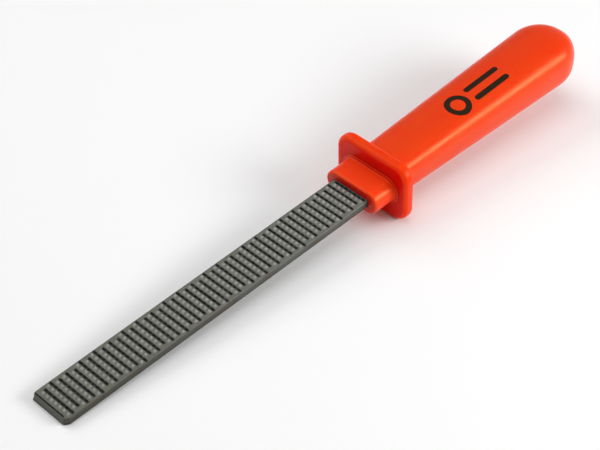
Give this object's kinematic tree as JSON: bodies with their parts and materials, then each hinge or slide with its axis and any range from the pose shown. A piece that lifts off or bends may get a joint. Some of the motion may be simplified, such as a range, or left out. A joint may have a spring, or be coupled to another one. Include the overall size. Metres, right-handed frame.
{
  "type": "wood rasp",
  "caption": "Flat wood rasp: a straight steel bar with rows of punched teeth on both faces, in an oval moulded handle with a collar, a finger guard and a domed butt.",
  "frame": {"origin": "centre of the blade's flat end face at the tip", "axes": "+X runs along the tool from the tip to the butt, +Y across the toothed faces, and +Z is normal to the upper toothed face"},
  "size_m": [0.344, 0.045, 0.033],
  "materials": {
    "rasp_steel": "satin grey steel, punched teeth",
    "collar_plastic": "moulded, semi-gloss",
    "guard_plastic": "moulded, semi-gloss",
    "grip_plastic": "moulded, semi-gloss"
  },
  "bodies": {
    "root": {"rasp_blade": "rasp_steel", "collar_sleeve": "collar_plastic", "hand_guard": "guard_plastic", "grip_body": "grip_plastic"}
  },
  "joints": []
}
